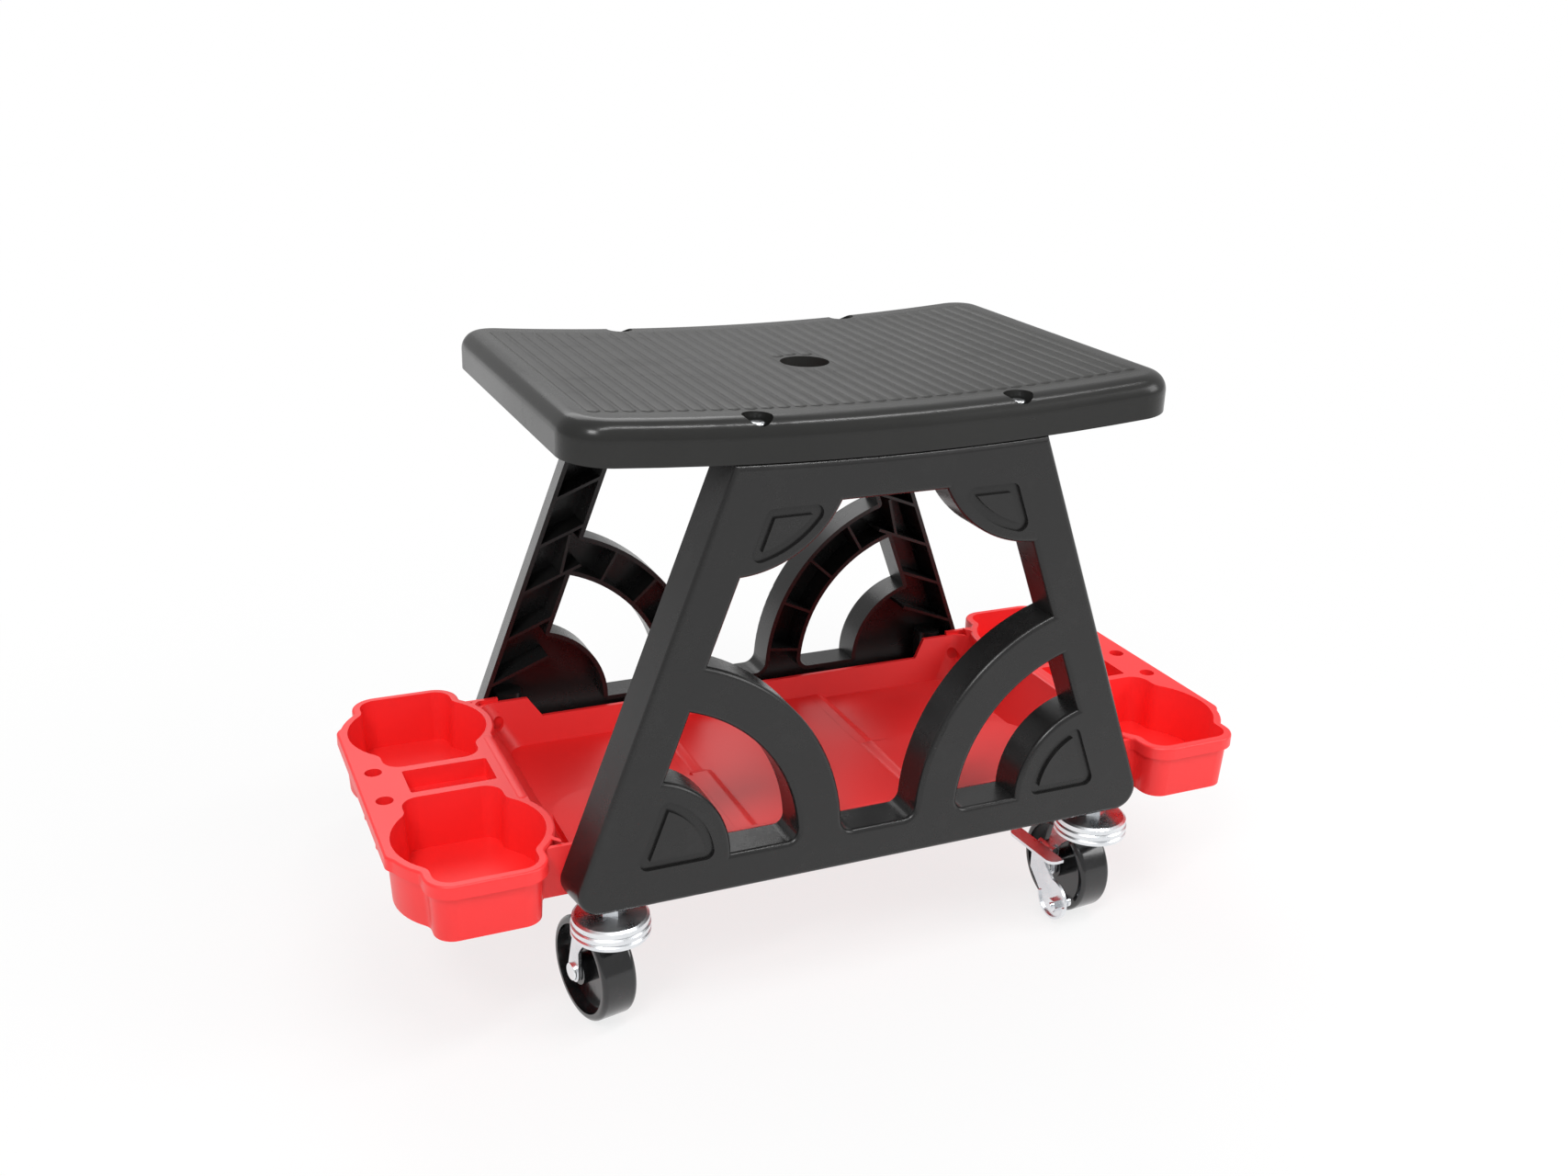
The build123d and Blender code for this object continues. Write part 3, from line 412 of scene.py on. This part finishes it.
def rounded_bars(name, centre, start, stop, size, line):
    """Closed bars along Y, one for each centre, from its start to its stop.

    A bar is a closed profile carried from its start to its stop. The profile's place across is
    half the width times the cosine of its angle; its height over the line is the sine raised to
    a power a little over one, times the rise above and the sink below. Width, rise and sink
    shrink to a small share of themselves towards each end by the sine of the share run, so the
    ends round off.
    """
    width, rise, sink, end_length = size
    tip = np.linspace(0.0, 1.0, BAR_END_POINTS)[:-1]
    middle = np.linspace(1.0, BAR_RUN - 1.0, BAR_MIDDLE_POINTS)
    run = np.concatenate([tip, middle, BAR_RUN - tip[::-1]])
    near_end = np.clip(np.minimum(run, BAR_RUN - run), 0.0, 1.0)
    swell = BAR_TIP + (1.0 - BAR_TIP) * np.sin(near_end * math.pi / 2)
    share = np.clip((run - 1.0) / (BAR_RUN - 2.0), 0.0, 1.0)
    first, last = start[:, None] + end_length, stop[:, None] - end_length
    along = first + (last - first) * share
    along = along - np.clip(1.0 - run, 0.0, None) * end_length
    along = along + np.clip(run - (BAR_RUN - 1.0), 0.0, None) * end_length
    angle = np.linspace(0.0, 2 * math.pi, BAR_CORNERS, endpoint=False)
    across = 0.5 * width * np.cos(angle)
    sine = np.sin(angle)
    lift = np.where(sine >= 0, rise, sink) * np.sign(sine) * np.abs(sine) ** BAR_POWER
    x = centre[:, None, None] + swell[None, :, None] * across[None, None, :]
    y = np.broadcast_to(along[:, :, None], x.shape)
    z = line(x) + swell[None, :, None] * lift[None, None, :]
    index = np.arange(x.size).reshape(x.shape)
    turned = np.roll(index, -1, axis=2)
    walls = np.stack([index[:, :-1], index[:, 1:], turned[:, 1:], turned[:, :-1]], -1).reshape(-1, 4)
    faces = walls.tolist() + index[:, 0].tolist() + index[:, -1, ::-1].tolist()
    made = surface_mesh(name, np.stack([x, y, z], -1), faces)
    made.data.shade_smooth()
    return made


def seat_ribs():
    """Rounded bars on the dished field, one each pitch, broken round the finger hole."""
    count = int(FIELD_HALF_WIDE / RIB_PITCH)
    middles = RIB_PITCH * np.arange(-count, count + 1)
    gap = np.sqrt(np.clip(HOLE_CLEARANCE**2 - middles**2, 0.0, None))
    whole, split = middles[gap == 0.0], middles[gap > 0.0]
    gap = gap[gap > 0.0]
    centre = np.concatenate([whole, split, split])
    whole_end = np.full(whole.size, FIELD_HALF_DEEP)
    split_end = np.full(split.size, FIELD_HALF_DEEP)
    start = np.concatenate([-whole_end, -split_end, gap])
    stop = np.concatenate([whole_end, -gap, split_end])
    size = (RIB_WIDTH, RIB_RISE, RIB_SINK, RIB_END)
    made = rounded_bars("seat_ribs", centre, start, stop, size, seat_line)
    made.data.materials.append(FINISHES["seat_plastic"])
    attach(made, "base")


def straight_rim(start, stop):
    """Plan points of the roll's centre and outward directions along the front, from x to x."""
    x = np.linspace(start, stop, FRONT_POINTS)
    plan = np.stack([x, np.full_like(x, RIM_ROLL - SEAT_HALF_DEEP)], -1)
    return plan, np.tile([0.0, -1.0], (x.size, 1))


def rim_round_the_end(start):
    """Plan points of the roll's centre and outward directions round the seat's right end.

    The front half runs straight from an x, then by a quarter circle about the corner's centre,
    then straight to the middle of the end. The back half is its mirror image.
    """
    long, deep = SEAT_HALF_LONG - RIM_ROLL, SEAT_HALF_DEEP - RIM_ROLL
    bend = SEAT_CORNER - RIM_ROLL
    side = np.linspace(start, long - bend, BESIDE_POINTS)[:-1]
    turn = np.linspace(-math.pi / 2, 0.0, CORNER_POINTS)
    end = np.linspace(bend - deep, 0.0, CORNER_POINTS)[1:]
    corner_out = np.stack([np.cos(turn), np.sin(turn)], -1)
    plan = np.concatenate(
        [
            np.stack([side, np.full_like(side, -deep)], -1),
            np.array([long - bend, bend - deep]) + bend * corner_out,
            np.stack([np.full_like(end, long), end], -1),
        ]
    )
    out = np.concatenate(
        [np.tile([0.0, -1.0], (side.size, 1)), corner_out, np.tile([1.0, 0.0], (end.size, 1))]
    )
    mirrored = np.array([1.0, -1.0])
    return tuple(np.concatenate([half, half[-2::-1] * mirrored]) for half in (plan, out))


def rim_sheet(plan, out):
    """Rings of a thin sheet over the rolled edge, along a path of the roll's centre.

    The edge is rolled by a ball that touches the wall and the dished top. The ball's centre
    keeps its radius from the wall in plan, and lies on the dish's circle grown by that radius.
    A point of the sheet is the centre plus the roll times the direction turned evenly from the
    wall's normal to the top's normal. The sheet stands proud by a sine over the turn, and over
    the first and the last part of its path it dips under the edge by the smooth step. Its inner
    side lies a sheet deeper.
    """
    turn = np.linspace(0.0, 1.0, ROLL_POINTS)[None, :, None]
    grown = DISH_RADIUS + RIM_ROLL
    fall = np.sqrt(grown**2 - plan[:, 0] ** 2)
    centre = np.stack([plan[:, 0], plan[:, 1], SEAT_MIDDLE + DISH_RADIUS - fall], -1)
    wall = np.stack([out[:, 0], out[:, 1], np.zeros(len(out))], -1)
    top = np.stack([-plan[:, 0] / grown, np.zeros(len(plan)), fall / grown], -1)
    angle = np.arccos((wall * top).sum(-1))[:, None, None]
    way = np.sin((1 - turn) * angle) * wall[:, None] + np.sin(turn * angle) * top[:, None]
    way /= np.sin(angle)
    place = np.linspace(0.0, 1.0, len(plan))[:, None, None]
    shown = smooth_step(np.clip(np.minimum(place, 1.0 - place) * RIM_PARTS, 0.0, 1.0))
    arch = (1.0 + RIM_EDGE_DIP) * np.sin(turn * math.pi) - RIM_EDGE_DIP
    proud = RIM_PROUD * arch * shown - RIM_END_DEPTH * (1.0 - shown)
    outer = centre[:, None] + way * (RIM_ROLL + proud)
    inner = centre[:, None] + way * (RIM_ROLL - RIM_SHEET)
    return np.concatenate([outer, inner[:, ::-1]], axis=1)


def seat_rim():
    """The thin sheet over the seat's rolled edge in four pieces, open at the screw pockets."""
    middle = rim_sheet(*straight_rim(POCKET_CLEARANCE - POCKET_PLACE, POCKET_PLACE - POCKET_CLEARANCE))
    end = rim_sheet(*rim_round_the_end(POCKET_PLACE + POCKET_CLEARANCE))
    mirrored_y, mirrored_x = np.array([1, -1, 1]), np.array([-1, 1, 1])
    tubes = [(middle, True), (middle * mirrored_y, False), (end, True), (end * mirrored_x, False)]
    made = smooth_tubes("seat_rim", tubes)
    made.data.materials.append(FINISHES["seat_plastic"])
    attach(made, "base")


def deck_beads():
    """A low bead on each deck's inner edge, over the seam of the deck and the trough's end wall."""
    centre = np.array([-DECK_SEAM, DECK_SEAM])
    reach = np.full(2, BEAD_HALF_LONG)
    size = (BEAD_WIDTH, BEAD_RISE, BEAD_SINK, BEAD_END)
    made = rounded_bars("deck_beads", centre, -reach, reach, size, lambda x: np.full_like(x, DECK_TOP))
    made.data.materials.append(FINISHES["tray_plastic"])
    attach(made, "base")


def panel_slopes():
    """Sloping steps down both long edges of the trough's middle panel.

    The grid runs along Y and outwards from the panel. In front, the surface climbs from the
    panel to the shelf by the smooth step of the place across; behind, it falls from the panel to
    the floor the same way. A second smooth step along Y carries one into the other. The
    underside is level, inside the floor.
    """
    y = np.linspace(STEP_START, STEP_STOP, SLOPE_POINTS_LONG)
    out = np.linspace(SLOPE_START, SLOPE_STOP, SLOPE_POINTS_ACROSS)
    climb = smooth_step(np.clip((out - CLIMB_START) / CLIMB_RUN, 0.0, 1.0))
    fall = smooth_step(np.clip((out - FALL_START) / FALL_RUN, 0.0, 1.0))
    front = PANEL_TOP + (SHELF_TOP - PANEL_TOP) * climb + SLOPE_PROUD
    back = PANEL_TOP + (FLOOR_TOP - PANEL_TOP) * fall + SLOPE_PROUD
    turn = smooth_step(np.clip((y - SHELF_BACK) / SHELF_BLEND + 0.5, 0.0, 1.0))
    top = front[None, :] + (back - front)[None, :] * turn[:, None]
    y_grid, out_grid = np.meshgrid(y, out, indexing="ij")
    tubes = []
    for side in (-1, 1):
        upper = np.stack([side * (PANEL_EDGE + out_grid), y_grid, top], -1)
        lower = upper.copy()
        lower[..., 2] = FLOOR_TOP - SLOPE_SINK
        tubes.append((np.concatenate([upper, lower[:, ::-1]], axis=1), side < 0))
    made = smooth_tubes("panel_slopes", tubes)
    made.data.materials.append(FINISHES["tray_plastic"])
    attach(made, "base")


def floor_finish():
    """White that shines by itself to the camera and in mirrors, most of all far away.

    Near the stool a part of it is a plain matt white, which keeps the soft shadow.
    """
    f = Finish("white_studio_floor")
    x, y, _ = f.axes()
    away = f.math("SQRT", f.math("ADD", f.math("MULTIPLY", x, x), f.math("MULTIPLY", y, y)))
    rays = f.node("ShaderNodeLightPath").outputs
    mirrored = f.math("MAXIMUM", rays["Is Glossy Ray"], rays["Is Transmission Ray"])
    seen = f.math("MAXIMUM", rays["Is Camera Ray"], mirrored)
    glow = f.node("ShaderNodeEmission")
    glow.inputs["Color"].default_value = (1.0, 1.0, 1.0, 1.0)
    glow.inputs["Strength"].default_value = 1.0
    share = f.ramp(away, GLOW_DISTANCES, to=GLOW_SHARES)
    blend = f.node("ShaderNodeMixShader")
    f.put(blend.inputs[0], f.math("MULTIPLY", seen, share))
    f.surface(Base_Color=(0.8, 0.8, 0.8, 1.0))
    f.shader.inputs["Roughness"].default_value = 0.9
    f.link(f.shader.outputs[0], blend.inputs[1])
    f.link(glow.outputs[0], blend.inputs[2])
    f.link(blend.outputs[0], f.tree.nodes["Material Output"].inputs["Surface"])
    return f.material


def studio_floor():
    """A level sheet far wider than the view: a square grid at height zero."""
    line = np.linspace(-FLOOR_REACH, FLOOR_REACH, FLOOR_LINES)
    x, y = np.meshgrid(line, line, indexing="ij")
    points = np.stack([x, y, np.zeros_like(x)], -1)
    index = np.arange(x.size).reshape(x.shape)
    corners = [index[:-1, :-1], index[1:, :-1], index[1:, 1:], index[:-1, 1:]]
    made = surface_mesh("studio_floor", points, np.stack(corners, -1).reshape(-1, 4).tolist())
    made.data.materials.append(floor_finish())


seat_ribs()
seat_rim()
deck_beads()
panel_slopes()
studio_floor()


def soft_lamp(name, place, aim, size, power):
    """A soft box of a width and a height that looks at a point."""
    lamp = bpy.data.lights.new(name, "AREA")
    lamp.shape = "RECTANGLE"
    lamp.size, lamp.size_y = size
    lamp.energy = power
    made = bpy.data.objects.new(name, lamp)
    made.location = place
    made.rotation_mode = "QUATERNION"
    made.rotation_quaternion = (Vector(aim) - Vector(place)).to_track_quat("-Z", "Y")
    scene.collection.objects.link(made)


soft_lamp("key_box", place=(-1.1, -1.3, 1.9), aim=(0, 0, 0.2), size=(0.6, 0.6), power=20.0)
soft_lamp("fill_box", place=(1.7, -1.1, 1.2), aim=(0, 0, 0.15), size=(0.9, 0.9), power=13.0)
soft_lamp("back_box", place=(0.2, 1.6, 1.8), aim=(0, 0, 0.2), size=(1.4, 1.4), power=14.0)
soft_lamp("top_strip", place=(0.3, -0.62, 1.9), aim=(0, 0, 0.3), size=(1.5, 0.1), power=13.0)

# White air: brighter where the camera sees it than as a light
world = bpy.data.worlds.new("studio_air")
world.use_nodes = True
scene.world = world
air = world.node_tree
paths = air.nodes.new("ShaderNodeLightPath").outputs
level = air.nodes.new("ShaderNodeMath")
level.operation = "MULTIPLY_ADD"
air.links.new(paths["Is Camera Ray"], level.inputs[0])
level.inputs[1].default_value = AIR_SEEN - AIR_LIGHT
level.inputs[2].default_value = AIR_LIGHT
background = air.nodes["Background"]
background.inputs["Color"].default_value = (1.0, 1.0, 1.0, 1.0)
air.links.new(level.outputs[0], background.inputs["Strength"])

# Camera at the place from which the stool was seen
turn, down, lean = (math.radians(angle) for angle in (CAMERA_TURN, CAMERA_DOWN, CAMERA_LEAN))
ahead = Vector((math.sin(turn) * math.cos(down), math.cos(turn) * math.cos(down), -math.sin(down)))
side = Vector((math.cos(turn), -math.sin(turn), 0.0))
above = side.cross(ahead)
right = side * math.cos(lean) + above * math.sin(lean)
up = above * math.cos(lean) - side * math.sin(lean)
lens = bpy.data.cameras.new("camera")
lens.sensor_fit = "HORIZONTAL"
lens.sensor_width = FILM_WIDTH
lens.lens = FILM_WIDTH * FOCAL_PIXELS / VIEW_PIXELS
camera = bpy.data.objects.new("camera", lens)
camera.matrix_world = Matrix(
    (
        (right.x, up.x, -ahead.x, CAMERA_PLACE[0]),
        (right.y, up.y, -ahead.y, CAMERA_PLACE[1]),
        (right.z, up.z, -ahead.z, CAMERA_PLACE[2]),
        (0.0, 0.0, 0.0, 1.0),
    )
)
scene.collection.objects.link(camera)
scene.camera = camera
